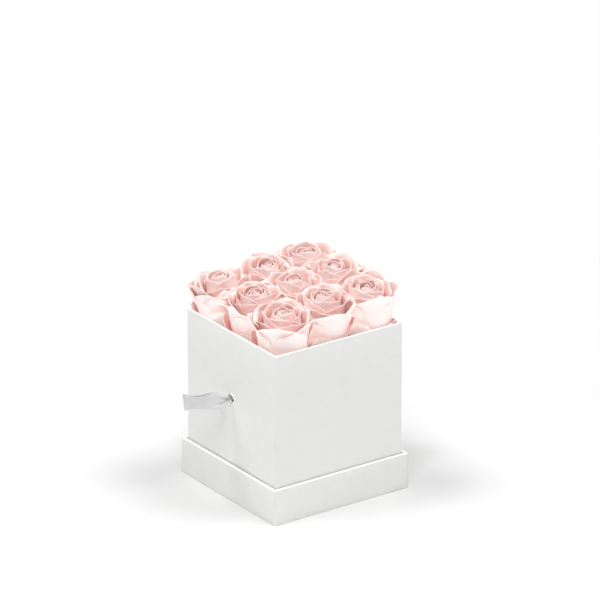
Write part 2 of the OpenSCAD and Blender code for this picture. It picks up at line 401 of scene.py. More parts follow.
class FLOWERBOX_OT_stage(bpy.types.Operator):
    """White floor, soft lights and the camera"""
    bl_idname = "flowerbox.stage"
    bl_label = "Stage"

    def execute(self, context):
        scene = context.scene
        look = scene.flowerbox_stage
        scene.view_settings.view_transform = "Standard"
        scene.view_settings.look = "None"

        data = bpy.data.cameras.new("camera")
        data.lens = FOCAL_LENGTH
        data.sensor_width = 36.0
        data.clip_end = 60.0
        camera = put("camera", data)
        camera.location = CAMERA_PLACE
        camera.rotation_euler = (math.pi / 2 - math.radians(CAMERA_TILT), 0.0, -math.radians(CAMERA_TURN))
        scene.camera = camera

        bm = bmesh.new()
        bmesh.ops.create_circle(bm, cap_ends=True, segments=96, radius=FLOOR_RADIUS)
        mesh = bpy.data.meshes.new("floor")
        bm.to_mesh(mesh)
        bm.free()
        mesh.materials.append(material("studio_floor"))
        floor = put("floor", mesh)

        for name, (direction, spread, setting) in SOFT_LIGHTS.items():
            self.soft_light(name, Vector(direction), spread, getattr(look, setting))

        world = bpy.data.worlds.new("studio")
        world.use_nodes = True
        tree = world.node_tree
        reflected = add(tree, "ShaderNodeLightPath").outputs["Is Glossy Ray"]
        tree.links.new(span(tree, reflected, look.fill, ROOM_REFLECTED),
                       tree.nodes["Background"].inputs["Strength"])
        tree.nodes["Background"].inputs["Color"].default_value = (1.0, 1.0, 1.0, 1.0)
        scene.world = world
        return {"FINISHED"}

    @staticmethod
    def soft_light(name, direction, spread, strength):
        """A far softbox that lights the floor evenly."""
        data = bpy.data.lights.new(name, "SUN")
        data.angle = math.radians(spread)
        data.energy = strength
        light = put(name, data)
        light.location = direction.normalized() * 3
        light.rotation_euler = (-direction).to_track_quat("-Z", "Y").to_euler()


# ---- paper box and lid

def rounded_square(half, radius, steps=6):
    """Points of a square with rounded corners, anticlockwise from the +X side."""
    radius = max(radius, 0.02)
    points = []
    for k in range(4):
        middle = np.array([[1, 1], [-1, 1], [-1, -1], [1, -1]][k]) * (half - radius)
        for a in np.linspace(k * 90, k * 90 + 90, steps + 1):
            turn = math.radians(a)
            points.append(middle + radius * np.array([math.cos(turn), math.sin(turn)]))
    return np.array(points)


def arc(centre, radius, start, end, steps=5):
    """Points of an arc in the section plane, angles in degrees."""
    return [(centre[0] + radius * math.cos(math.radians(a)), centre[1] + radius * math.sin(math.radians(a)))
            for a in np.linspace(start, end, steps)]


def wrap_shell(name, width, wall, z_low, z_high, paper_t, turn_in, corner, rim):
    """Wrapping paper as one sheet: under the floor, up the sides, over the rim and down inside.

    The section is a list of (inset from the outer face, height). The floor closes 3 mm from the middle.
    """
    floor_in = width / 2 - 3
    tightest_edge = 0.25
    outside = [(floor_in, z_low)]
    outside += arc((corner, z_low + corner), corner, 270, 180)
    outside += [(0, z) for z in np.linspace(z_low + corner, z_high - rim, 6)[1:-1]]
    outside += arc((rim, z_high - rim), rim, 180, 90)
    outside += arc((wall - rim, z_high - rim), rim, 90, 0)
    outside += [(wall, z_high - turn_in)]
    inside = [(wall - paper_t, z_high - turn_in), (wall - paper_t, z_high - rim)]
    inside += arc((wall - rim, z_high - rim), rim - paper_t, 0, 90)
    inside += arc((rim, z_high - rim), rim - paper_t, 90, 180)
    inside += [(paper_t, z_low + corner)]
    inside += arc((corner, z_low + corner), corner - paper_t, 180, 270)
    inside += [(floor_in, z_low + paper_t)]
    points, faces = [], []
    section = outside + inside
    for inset, z in section:
        radius = max(corner - inset, tightest_edge)
        for x, y in rounded_square(width / 2 - inset, min(radius, width / 2 - inset)):
            points.append((x, y, z))
    n = len(rounded_square(1, 0.1))
    for s in range(len(section) - 1):
        for k in range(n):
            a, b = s * n + k, s * n + (k + 1) % n
            faces.append((a, b, b + n, a + n))
    low, high = len(points), len(points) + 1
    points += [(0, 0, z_low), (0, 0, z_low + paper_t)]
    last = (len(section) - 1) * n
    for k in range(n):
        faces.append((low, (k + 1) % n, k))
        faces.append((high, last + k, last + (k + 1) % n))
    mesh = mesh_from(name, points, faces)
    outward(mesh)
    return mesh


def paint_rim_highlight(mesh):
    """Marks the points of a wrap on its rim, which the paper material paints almost white as a painted
    highlight.
    """
    heights = np.array([v.co.z for v in mesh.vertices])
    layer = mesh.attributes.new("fold", "FLOAT", "POINT")
    layer.data.foreach_set("value", (heights > heights.max() - 0.3 * MM).astype(np.float32))


def drill(mesh, y, z, radius):
    """Cuts a round hole along X through both sides of a mesh, in millimetres."""
    bm = bmesh.new()
    bmesh.ops.create_cone(bm, cap_ends=True, segments=48, radius1=radius * MM, radius2=radius * MM, depth=1.0)
    bmesh.ops.rotate(bm, verts=bm.verts, matrix=Euler((0, math.pi / 2, 0)).to_matrix())
    bmesh.ops.translate(bm, verts=bm.verts, vec=Vector((0, y * MM, z * MM)))
    bar = bpy.data.meshes.new("cutter")
    bm.to_mesh(bar)
    bm.free()
    body, cutter = put("drilled", mesh), put("cutter", bar)
    cut = body.modifiers.new("cut", "BOOLEAN")
    cut.operation = "DIFFERENCE"
    cut.solver = "EXACT"
    cut.object = cutter
    return plain_mesh(body, cutter)


def plain_mesh(host, *helpers):
    """The mesh that an object's modifiers make. The object and its helpers are removed."""
    bpy.context.view_layer.update()
    mesh = bpy.data.meshes.new_from_object(host.evaluated_get(bpy.context.evaluated_depsgraph_get()))
    for o in (host, *helpers):
        bpy.data.objects.remove(o)
    return mesh


def sharp_by_angle(mesh, degrees=40):
    """Marks the edges between faces that meet at more than this angle as sharp."""
    mesh.set_sharp_from_angle(angle=math.radians(degrees))


def wrap_of(part, look):
    """The wrapping paper of the lid or the box, as its CAD nodes place it."""
    low, high = (np.array(c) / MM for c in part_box(f"{part}_wrap"))
    board_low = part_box(f"{part}_board")[0][2] / MM
    lining_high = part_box(f"{part}_lining")[1][2] / MM
    inner = inner_half(f"{part}_lining")
    return wrap_shell(f"{part}_wrap_sheet", high[0] - low[0], high[0] - inner, low[2], high[2],
                      board_low - low[2], high[2] - lining_high, look.corner / MM, look.rim / MM)


def cover(part, mesh):
    """Puts the finished wrapping paper on the lid or the box, over its board and lining."""
    paint_rim_highlight(mesh)
    sharp_by_angle(mesh)
    new_piece(f"{part}_wrap_sheet", mesh, "white_paper", part, "white_paper", f"{part}_wrap")
    dress(f"{part}_board", "greyboard")
    dress(f"{part}_lining", "white_lining")


class FLOWERBOX_OT_lid(bpy.types.Operator):
    """The upturned lid that the box stands in"""
    bl_idname = "flowerbox.lid"
    bl_label = "Lid"

    def execute(self, context):
        cover("lid", wrap_of("lid", context.scene.flowerbox_paper))
        return {"FINISHED"}


class FLOWERBOX_OT_box(bpy.types.Operator):
    """The box that holds the roses"""
    bl_idname = "flowerbox.box"
    bl_label = "Box"

    def execute(self, context):
        eye = eyelet_place()
        cover("box", drill(wrap_of("box", context.scene.flowerbox_paper), eye["y"], eye["z"], eye["hole"]))
        return {"FINISHED"}


def dress(node, name):
    """Gives a carried-over CAD node its finish."""
    piece = frame["nodes"][node]
    piece.data.materials.clear()
    piece.data.materials.append(material(name))


def inner_half(lining):
    """Half the clear width inside a lining: its innermost vertices on X."""
    return np.abs(node_points(lining)[:, 0]).min()


def eyelet_place():
    """Where the eyelets are and their radii, in millimetres, read from the CAD nodes."""
    right, washer = (p[p[:, 0] > 0] for p in (node_points("eyelets"), node_points("eyelet_washers")))
    y, z = (right[:, 1].min() + right[:, 1].max()) / 2, (right[:, 2].min() + right[:, 2].max()) / 2
    reach = np.hypot(right[:, 1] - y, right[:, 2] - z)
    return {"y": y, "z": z, "face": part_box("box_wrap")[1][0] / MM, "tail": right[:, 0].min(),
            "bore": reach.min(), "flange": reach.max(),
            "hole": np.hypot(washer[:, 1] - y, washer[:, 2] - z).min()}


# ---- geometry nodes

def node_group(name, lengths, geometry=()):
    """A Geometry Nodes tree with named inputs. Returns it with its input and output nodes."""
    tree = bpy.data.node_groups.new(name, "GeometryNodeTree")
    tree.interface.new_socket("Geometry", in_out="OUTPUT", socket_type="NodeSocketGeometry")
    for key in geometry:
        tree.interface.new_socket(key, in_out="INPUT", socket_type="NodeSocketGeometry")
    for key in lengths:
        tree.interface.new_socket(key, in_out="INPUT", socket_type="NodeSocketFloat").default_value = MM
    return tree, add(tree, "NodeGroupInput"), add(tree, "NodeGroupOutput")


def finish_group(tree, end, geometry, name):
    """Ends a tree in Realize Instances and Set Material."""
    real = add(tree, "GeometryNodeRealizeInstances", i0=geometry)
    painted = add(tree, "GeometryNodeSetMaterial", {"Material": material(name)}, i0=real.outputs[0])
    tree.links.new(painted.outputs[0], end.inputs[0])


def grown(tree, name, values, base=None):
    """The plain mesh that a tree makes of a base mesh, or of none, with its inputs' values by name."""
    host = put(name, base or bpy.data.meshes.new(name))
    modifier = host.modifiers.new("grow", "NODES")
    modifier.node_group = tree
    for item in tree.interface.items_tree:
        if item.in_out == "INPUT" and item.name in values:
            modifier[item.identifier] = values[item.name]
    return plain_mesh(host)


# ---- eyelets

def eyelet_tree():
    """Sweeps the rolled flange, the barrel and the curled tail round the hole, on both faces of the box."""
    tree, start, end = node_group(
        "eyelet_pair", ("Bore", "Barrel", "Flange", "Curl", "Depth", "Face", "Height"))
    size = start.outputs

    def times(factor, key):
        return add(tree, "ShaderNodeMath", {"operation": "MULTIPLY", "i1": factor}, i0=size[key]).outputs[0]

    hoop = add(tree, "GeometryNodeCurvePrimitiveCircle", {"Resolution": 64}, Radius=size["Bore"])
    # flange: a half circle with its flat side on the paper
    dome = add(tree, "GeometryNodeCurveArc", {"Resolution": 17, "Sweep Angle": math.pi},
               Radius=times(0.5, "Flange"))
    flange = add(tree, "GeometryNodeSetSplineCyclic", {"Cyclic": True}, i0=dome.outputs[0])
    barrel = add(tree, "GeometryNodeCurvePrimitiveQuadrilateral", Width=size["Barrel"], Height=size["Depth"])
    tail = add(tree, "GeometryNodeCurvePrimitiveCircle", {"Resolution": 20}, Radius=size["Curl"])
    # a section's X points out from the hole's middle, and its Y along the hole and out of the box
    sections = (
        (flange, {"X": times(0.5, "Flange")}),
        (barrel, {"X": times(0.5, "Barrel"), "Y": times(-0.5, "Depth")}),
        (tail, {"X": size["Curl"], "Y": times(-1.0, "Depth")}),
    )
    eyelet = add(tree, "GeometryNodeJoinGeometry")
    for section, place in sections:
        shift = add(tree, "ShaderNodeCombineXYZ", **place)
        placed = add(tree, "GeometryNodeTransform", i0=section.outputs[0], Translation=shift.outputs[0])
        swept = add(tree, "GeometryNodeCurveToMesh", i0=hoop.outputs[0], i1=placed.outputs[0])
        tree.links.new(swept.outputs[0], eyelet.inputs[0])
    # one eyelet on each of two points, turned to face out
    left = add(tree, "ShaderNodeCombineXYZ", X=times(-1.0, "Face"), Z=size["Height"])
    right = add(tree, "ShaderNodeCombineXYZ", X=size["Face"], Z=size["Height"])
    points = add(tree, "GeometryNodeMeshLine", {"mode": "END_POINTS", "Count": 2}, **{
        "Start Location": left.outputs[0], "Offset": right.outputs[0]})
    lean = span(tree, add(tree, "GeometryNodeInputIndex").outputs[0], math.pi / 2, -math.pi / 2)
    turn = add(tree, "ShaderNodeCombineXYZ", Y=lean)
    pair = add(tree, "GeometryNodeInstanceOnPoints", i0=points.outputs[0], Instance=eyelet.outputs[0],
               Rotation=turn.outputs[0])
    finish_group(tree, end, pair.outputs[0], "nickel")
    return tree


class FLOWERBOX_OT_eyelets(bpy.types.Operator):
    """Nickel eyelets with their washers"""
    bl_idname = "flowerbox.eyelets"
    bl_label = "Eyelets"

    def execute(self, context):
        eye = eyelet_place()
        clearance, curl = 0.1, 0.6
        sizes = {
            "Bore": eye["bore"], "Barrel": eye["hole"] - clearance - eye["bore"],
            "Flange": eye["flange"] - eye["bore"], "Curl": curl, "Depth": eye["face"] - eye["tail"] - curl,
            "Face": eye["face"], "Height": eye["z"],
        }
        mesh = grown(eyelet_tree(), "eyelet_pair", {key: value * MM for key, value in sizes.items()})
        outward(mesh)
        sharp_by_angle(mesh, 50)
        new_piece("eyelet_pair", mesh, "nickel", "box", "nickel", "eyelets")
        dress("eyelet_washers", "nickel")
        return {"FINISHED"}


# ---- ribbons

# in millimetres: how far in from the hinge the knot sits, how far out the ribbon is back to its full
# width, how long each of its tails is, and the step of the knot's loops
KNOT_DEPTH = 12.0
PINCH_RUN = 11.0
TAIL = 26.0
KNOT_SIZE = 1.4


def hinge_place(joint):
    """A joint's place, in millimetres."""
    return np.array(next(j for j in frame["joints"] if j["name"] == joint)["pos_m"]) / MM


def ribbon_grid(side, root, reach, width, gap, pinch, rise, turn):
    """A ribbon as a grid: from the knot out through the eyelet, round the loop's end and back.

    Its two runs lie one behind the other, upright. It is gathered in the eyelet, and opens to
    its full width over the pinch's length. x points outwards from the hinge.
    """
    along, across = 170, 31
    t = np.linspace(-0.5, 0.5, across)[None, :]
    q = np.linspace(-1, 1, along)[:, None]
    front = q < 0
    # 1 on the near run and 0 on the far one, changing over smoothly round the end
    near = 1 - smooth(q, -0.13, 0.13)
    end_r = gap / 2
    fold = end_r * math.pi / 2
    path = (1 - np.abs(q)) * (reach - end_r + KNOT_DEPTH + fold)
    # path runs from 0 at the knot to the far end of the loop
    run = path.max() - fold
    bend = np.clip((path - run) / fold, 0, 1)
    x = np.where(path < run, path - KNOT_DEPTH, reach - end_r + end_r * np.sin(bend * math.pi / 2))
    way = np.clip(x / reach, 0, 1)
    spread = end_r * (0.15 + 0.85 * smooth(way, 0.2, 1.0))
    y = np.where(path < run, spread, end_r * np.cos(bend * math.pi / 2))
    bow = np.where(front, 3.2, 1.2) * np.sin(math.pi * way ** 0.85) * smooth(x, 0, 6)
    y = (y + bow) * np.where(front, -1, 1)
    high = 2 * pinch + (width - 2 * pinch) * smooth(x, -1.5, PINCH_RUN) ** 0.8
    # the cloth that the height doesn't use goes into pleats: a deep one in the lower third
    spare = np.maximum(width - high, 0.0)
    pleat = 1.2 * np.exp(-((t + 0.17) / 0.075) ** 2) + 0.5 * np.exp(-((t - 0.14) / 0.07) ** 2)
    pleat = pleat - 0.5 * np.exp(-((t + 0.36) / 0.07) ** 2) - 0.4 * np.exp(-((t - 0.32) / 0.08) ** 2)
    deep = 0.13 * spare + 1.4 * smooth(x, 0.0, 4.0) * (1 - smooth(x, 6.0, 20.0))
    y = y + deep * pleat * np.where(front, 1.0, 0.6) + 1.9 * (1 - smooth(x, -2.0, 6.0))
    # a diagonal crease runs from the top of the far end down towards the face
    over = np.maximum(x - (reach - 6.5 + 8.0 * t), 0.0)
    y = y + (0.8 * near - 0.1) * over + 0.9 * near * np.exp(-((x - reach + 9.0 - 9.0 * t) / 1.3) ** 2)
    # the upper edge leans back near the face
    y = y + 5.0 * t * (1 - smooth(x, 14.0, 36.0)) * smooth(x, 0.0, 8.0)
    # and its lower edge is tucked back further out
    y = y - 7.0 * t * smooth(way, 0.38, 0.6) * (1 - 0.8 * smooth(way, 0.78, 0.95))
    z = high * t + 1.2 * smooth(x, 2.0, 24.0) + 0.7 * np.sin(way * 2.6) * smooth(x, 0, 20)
    z = z - 0.8 * (1 - near) * smooth(way, 0.1, 0.5)
    # its end is stretched taller where it turns
    z = z + (3.2 * t + 0.6) * smooth(x, reach - 12.0, reach)
    x = x + 5.5 * t * smooth(way, 0.35, 1.0)
    # in the hole the neck is pushed to one side and packed against the eyelet's wall
    packed = smooth(x, -9.5, -6.5) * (1 - smooth(x, -4.5, 0.0))
    y = y + (2.2 + 0.5 * np.clip(-4.5 - x, 0.0, 3.0)) * packed
    z = z - 0.8 * packed
    r = np.hypot(y, z)
    y, z = (c * (1 - packed + packed / (1 + (r / 4.4) ** 4) ** 0.25) for c in (y, z))
    # into the loop's own lie: pointing up and leaning back
    up, back = math.radians(rise), math.radians(turn)
    free = smooth(x, -1.5, 4.0)
    x2 = np.where(x > 0, x * math.cos(up) - z * math.sin(up) * free, x)
    z2 = np.where(x > 0, x * math.sin(up), 0) + z
    x3 = np.where(x2 > 0, x2 * math.cos(back) - y * math.sin(back) * free, x2)
    y3 = np.where(x2 > 0, x2 * math.sin(back), 0) + y
    grid = np.stack(np.broadcast_arrays(x3, y3, z2), axis=-1)
    grid = np.concatenate([ribbon_tail(grid[0], width, -1)[::-1], grid, ribbon_tail(grid[-1], width, 1)])
    grid = grid * np.array([side, 1, 1]) + np.array([side * root[0], root[1], root[2]])
    return grid if side > 0 else grid[:, ::-1]


def ribbon_tail(row, width, way):
    """One of the ribbon's two ends, hanging from the knot behind the eyelet, from its last row on."""
    v = np.linspace(0, 1, 22)[1:, None]
    t = np.linspace(-0.5, 0.5, len(row))[None, :]
    open_ = smooth(v, 0.0, 0.7)
    x = row[:, 0].mean() + way * 1.4 * open_ + 0.6 * np.sin(4.0 * v)
    x = x + (1.1 - 0.7 * open_) * np.sin(9.0 * t + way)
    y = t * (4.5 + (width - 5.0) * open_) + way * 1.1 * open_
    z = -2.0 - TAIL * v + 1.2 * np.abs(t) * open_
    hang = np.stack(np.broadcast_arrays(x, y, z), axis=-1)
    loose = smooth(v, 0.0, 0.2)[..., None]
    return row[None] * (1 - loose) + hang * loose


def knot_tree():
    """Sweeps the gathered ribbon, a flat section with rounded sides, along the knot's path."""
    tree, start, end = node_group("ribbon_knot", ("Breadth", "Thickness", "Rounding"), geometry=("Path",))
    size = start.outputs
    path = add(tree, "GeometryNodeMeshToCurve", i0=size["Path"])
    flat = add(tree, "GeometryNodeCurvePrimitiveQuadrilateral", Width=size["Breadth"],
               Height=size["Thickness"])
    section = add(tree, "GeometryNodeFilletCurve", {"mode": "POLY", "Count": 4}, i0=flat.outputs[0],
                  Radius=size["Rounding"])
    swept = add(tree, "GeometryNodeCurveToMesh", i0=path.outputs[0], i1=section.outputs[0])
    finish_group(tree, end, swept.outputs[0], "satin_ribbon")
    return tree


def knot_path(side, root):
    """The closed path of an overhand knot pulled flat against the washer, as edges."""
    u = np.linspace(0, 2 * math.pi, 97)[:-1]
    points = np.stack([
        side * (root[0] - KNOT_DEPTH - 0.5 - 1.5 * np.sin(3 * u)),
        root[1] + KNOT_SIZE * (np.sin(u) + 2 * np.sin(2 * u)),
        root[2] + KNOT_SIZE * (np.cos(u) - 2 * np.cos(2 * u)),
    ], axis=1) * MM
    mesh = bpy.data.meshes.new("knot_path")
    mesh.from_pydata([tuple(q) for q in points], [(i, (i + 1) % len(u)) for i in range(len(u))], [])
    return mesh


class FLOWERBOX_OT_ribbons(bpy.types.Operator):
    """Satin ribbon loops and their knots"""
    bl_idname = "flowerbox.ribbons"
    bl_label = "Ribbons"

    def execute(self, context):
        look = context.scene.flowerbox_ribbon
        width = look.width / MM
        tree = knot_tree()
        for side, name in ((-1, "left"), (1, "right")):
            pivot = hinge_place(f"ribbon_{name}_swing")
            far = np.abs(node_points(f"ribbon_{name}_loop")[:, 0]).max() - abs(pivot[0])
            root = (abs(pivot[0]), pivot[1], pivot[2])
            grid = ribbon_grid(side, root, far - 3.0, width, gap=5.0, pinch=2.2, rise=5.0, turn=9.0)
            points, faces, uv = thicken(grid, look.thickness / MM)
            mesh = mesh_from(f"ribbon_{name}_strip", points, faces)
            outward(mesh)
            lengths = np.linalg.norm(np.diff(grid[:, grid.shape[1] // 2], axis=0), axis=1).sum()
            give_uv(mesh, uv[:, ::-1] * np.array([lengths, width]))
            strip = new_piece(f"ribbon_{name}_strip", mesh, "satin_ribbon", None, "satin_ribbon",
                              f"ribbon_{name}_loop")
            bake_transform(strip)
            knot = grown(tree, f"ribbon_{name}_tie", {"Breadth": 3.6 * MM, "Thickness": 1.6 * MM,
                                                      "Rounding": 0.7 * MM}, knot_path(side, root))
            outward(knot)
            give_uv(knot, np.array([[v.co.y / MM, v.co.z / MM] for v in knot.vertices]))
            new_piece(f"ribbon_{name}_tie", knot, "satin_ribbon", "box", "satin_ribbon",
                      f"ribbon_{name}_knot")
        return {"FINISHED"}


# ---- roses

def rose_frame(i):
    """Base, axis and length of bloom i, in millimetres, read from its CAD nodes."""
    stem = node_points(f"rose_{i}_stem")
    centre = (stem.min(0) + stem.max(0)) / 2
    values, vectors = np.linalg.eigh(np.cov((stem - centre).T))
    axis = vectors[:, 2] * np.sign(vectors[2, 2])
    calyx = (node_points(f"rose_{i}_calyx") - centre) @ axis
    heart = (node_points(f"rose_{i}_heart") - centre) @ axis
    return centre + axis * calyx.max(), axis, heart.max() - calyx.max()


def petal_slope(p, s, v, roll):
    """Slope of a petal in degrees: out of its base, up the cup, in or out to the rim, over at the lip."""
    slope = p["low"] + (p["mid"] - p["low"]) * smooth(s, 0, p["bowl"])
    slope = slope + (p["top"] - p["mid"]) * smooth(v, 0.42, 0.88)
    return slope - roll * smooth(v, 1 - p["lip"], 1.03) ** 1.2


def petal_crest(p):
    """Height of the crest of a petal's middle line."""
    v = np.linspace(0, 1, 60) ** 0.85
    s = v * p["length"] * (1 + p["tip"])
    slope = petal_slope(p, s, v, p["roll"] * p["roll_mid"])
    return p["base_z"] + np.cumsum(np.sin(np.radians(slope)) * np.diff(s, prepend=0)).max()


def petal_sheet(p, rng, nu=25, nv=30):
    """One petal as a grid of points round the bloom's axis, in millimetres, across by up."""
    u = np.linspace(-1, 1, nu)[None, :]
    v = np.linspace(0, 1, nv)[:, None] ** 0.85
    length = p["length"] * (1 - p["round"] * np.abs(u) ** 2.6 + p["tip"] * np.exp(-(u / 0.14) ** 2))
    s = v * length
    side = p["roll_mid"] + (1 - p["roll_mid"]) * smooth(np.abs(u), 0.0, 0.8)
    slope = petal_slope(p, s, v, p["roll"] * side * (1 + p["skew"] * u))
    step = np.diff(s, axis=0, prepend=0)
    r = p["base_r"] + np.cumsum(np.cos(np.radians(slope)) * step, axis=0)
    z = p["base_z"] + np.cumsum(np.sin(np.radians(slope)) * step, axis=0)
    # breadth: narrow claw, widest at two thirds, drawn in a little at the rim
    breadth = p["width"] * (0.4 + 0.6 * smooth(v, 0.0, 0.55)) * (1 - 0.14 * smooth(v, 0.75, 1.0))
    reach = np.maximum(r[:, nu // 2][:, None], 0.6 * p["radius"])
    phi = p["phi"] + u * breadth / reach
    # one edge tucks under its neighbour, the other lies over it
    r = r + p["tuck"] * u * smooth(v, 0.1, 0.5)
    r = r + p["flare"] * smooth(np.abs(u), 0.6, 1.0) * smooth(v, 0.5, 1.0)
    wave = np.sin(p["waves"] * math.pi * u + p["phase"])
    wave = wave + 0.5 * np.sin(2.3 * p["waves"] * math.pi * u + 2 * p["phase"])
    r = r + p["ruffle"] * wave * smooth(v, 0.55, 1.0)
    z = z + 0.8 * p["ruffle"] * np.sin(1.7 * p["waves"] * math.pi * u + 3 * p["phase"]) * smooth(v, 0.6, 1.0)
    dent = rng.normal(0, 1, 3)
    r = r + p["dent"] * dent[0] * np.sin(2.1 * u + dent[1]) * np.sin(2.6 * v + dent[2]) * smooth(v, 0.1, 0.6)
    r = np.maximum(r, 0.25)
    return np.stack([r * np.cos(phi), r * np.sin(phi), z], axis=-1)


def thicken(grid, thickness):
    """Closed shell of a grid: its two skins and the edge round them. Returns points, faces and (u, v)."""
    nv, nu, _ = grid.shape
    du = np.gradient(grid, axis=1)
    dv = np.gradient(grid, axis=0)
    normal = np.cross(du, dv)
    normal /= np.maximum(np.linalg.norm(normal, axis=-1, keepdims=True), 1e-9)
    v = np.linspace(0, 1, nv)[:, None, None]
    half = thickness / 2 * (1.1 - 0.35 * v)
    front, back = grid + normal * half, grid - normal * half
    points = np.concatenate([front.reshape(-1, 3), back.reshape(-1, 3)])
    grid_uv = np.stack(np.meshgrid(np.linspace(0, 1, nu), np.linspace(0, 1, nv)), -1).reshape(-1, 2)
    uv = np.concatenate([grid_uv, grid_uv])
    n, faces = nu * nv, []
    for j in range(nv - 1):
        for i in range(nu - 1):
            a = j * nu + i
            faces.append((a, a + 1, a + nu + 1, a + nu))
            faces.append((n + a, n + a + nu, n + a + nu + 1, n + a + 1))
    rim = list(range(nu)) + [j * nu + nu - 1 for j in range(1, nv)]
    rim += [(nv - 1) * nu + i for i in range(nu - 2, -1, -1)] + [j * nu for j in range(nv - 2, 0, -1)]
    for k, a in enumerate(rim):
        b = rim[(k + 1) % len(rim)]
        faces.append((b, a, n + a, n + b))
    return points, faces, uv


# whorls of a bloom, from the outside in: the piece that they belong to, how many petals, radius of
# their cup and half their breadth in mm, height of their rim as a share of the bloom's length, slope
# of their upper part from upright and roll of their lip in degrees, and in mm the radius of their
# claw, how much their lip is ruffled and how deep it is dented
WHORLS = (
    ("outer_petals", 5, 27.0, 28.0, 0.90, -18, 70, 11.0, 1.1, 0.6),
    ("inner_petals", 5, 23.4, 25.0, 0.95, -8, 50, 9.0, 0.8, 0.5),
    ("inner_petals", 4, 20.0, 21.0, 1.00, 8, 36, 7.5, 0.5, 0.4),
    ("heart", 4, 16.2, 18.0, 1.01, 22, 26, 6.0, 0.35, 0.3),
    ("heart", 4, 12.0, 14.0, 1.00, 26, 20, 5.0, 0.25, 0.2),
    ("heart", 4, 7.0, 9.0, 0.985, 18, 12, 3.5, 0.15, 0.1),
)
GOLDEN = math.radians(137.508)
# each bloom's turn in degrees, how far it has opened, and how much taller than usual its outer
# petals, its middle ones and the one that faces out of the box stand, in mm
BLOOM_LOOKS = {
    1: (235, 0.85, 1, 0, 4), 2: (256, 0.8, -2, 0, 3), 3: (262, 0.6, 6, 0, 4), 4: (192, 0.85, -2, 0, 6),
    5: (230, 0.9, -2, 0, 0), 6: (280, 1.0, 0, 0, 0), 7: (205, 0.95, -2, 0, 2), 8: (240, 0.8, 1, 1, 0),
    9: (210, 0.8, 2, 5, 0),
}
# finish and record slot of each group of petals
PETAL_FINISH = {
    "outer_petals": ("pale_petal", "blush_petal"), "inner_petals": ("blush_petal", "blush_petal"),
    "heart": ("heart_petal", "heart_petal"),
}
# low guard petals fill the corners between the blooms, and reach only the darker lower half of the petal
# colours: painted shade low between the blooms
GUARDS = 4
GUARD_CUP = 29.5


def bloom_petals(rng, length, scale, look, own_turn):
    """Settings of every petal of one bloom, from the outermost in, grouped by piece."""
    turn, openness, outer_lift, middle_lift, face_lift = look
    turn = math.radians(turn)
    groups = {"outer_petals": [], "inner_petals": [], "heart": []}
    for j in range(GUARDS):
        p = {
            "radius": GUARD_CUP * scale, "phi": math.radians(45 + 90 * j) - own_turn + rng.normal(0, 0.15),
            "base_r": 11.0, "base_z": -1.0, "low": 6.0, "mid": 84.0, "top": 76.0, "width": 17.0,
            "roll": rng.uniform(5, 25), "roll_mid": 0.7, "skew": rng.uniform(-0.3, 0.3), "lip": 0.2,
            "round": 0.2, "tip": 0.03, "tuck": 0.6, "flare": 0.3, "waves": 1.0, "phase": rng.uniform(0, 6.28),
            "ruffle": 0.3, "dent": 0.2, "colour_reach": 0.5,
        }
        groups["outer_petals"].append(fit_petal(p, length * rng.uniform(0.36, 0.52)))
    k = 0
    for w, (group, count, cup, width, rim, top, roll, claw, ruffle, dent) in enumerate(WHORLS):
        next_cup = WHORLS[w + 1][2] if w + 1 < len(WHORLS) else 2.0
        for j in range(count):
            radius = (cup + (next_cup - cup) * j / count) * scale
            heart = group == "heart"
            p = {
                "radius": radius, "phi": turn + k * GOLDEN + rng.normal(0, 0.1),
                "base_r": min(claw, 0.5 * radius), "base_z": 8.0 if heart else 0.0,
                "low": 60.0 if heart else 8.0, "mid": 90.0 if w else 87.0,
                "top": 90 + top * (1 if top > 0 else openness) + rng.normal(0, 2),
                "width": width * rng.uniform(0.92, 1.06),
                "roll": roll * openness * rng.uniform(0.7, 1.3), "roll_mid": rng.uniform(0.4, 0.9),
                "skew": rng.uniform(-0.3, 0.3), "lip": 0.24 if w == 0 else 0.18,
                "round": rng.uniform(0.09, 0.15), "tip": rng.uniform(0.0, 0.045),
                "tuck": 0.55 if heart else 1.0, "flare": rng.uniform(0.4, 1.4) * (2.0 if w == 0 else 0.5),
                "waves": rng.uniform(0.8, 1.5), "phase": rng.uniform(0, 6.28),
                "ruffle": rng.uniform(0.6, 1.3) * ruffle, "dent": dent, "colour_reach": 1.0,
            }
            lift = outer_lift if w == 0 else middle_lift if w < 3 else 0.6 * middle_lift
            if k == 0:
                # the petal that faces out of the box is the broadest and the smoothest
                lift += face_lift
                p.update(width=width * 1.08, ruffle=0.5, flare=1.2, skew=0.1, dent=0.3, waves=0.8)
            groups[group].append(fit_petal(p, length * rim + lift + rng.normal(0, 0.8)))
            k += 1
    return groups


def fit_petal(p, crest):
    """Sets the length of a petal's bowl from its cup, and its whole length so that it reaches a height."""
    x = np.radians(p["low"] + (p["mid"] - p["low"]) * smooth(np.linspace(0, 1, 60)))
    p["bowl"] = max((p["radius"] - p["base_r"]) / max(np.cos(x).mean(), 0.08), 2.0)
    p["length"] = p["bowl"] + crest - p["base_z"] - p["bowl"] * np.sin(x).mean()
    for _ in range(4):
        p["length"] = max(p["length"] + crest - petal_crest(p), 12.0)
    return p


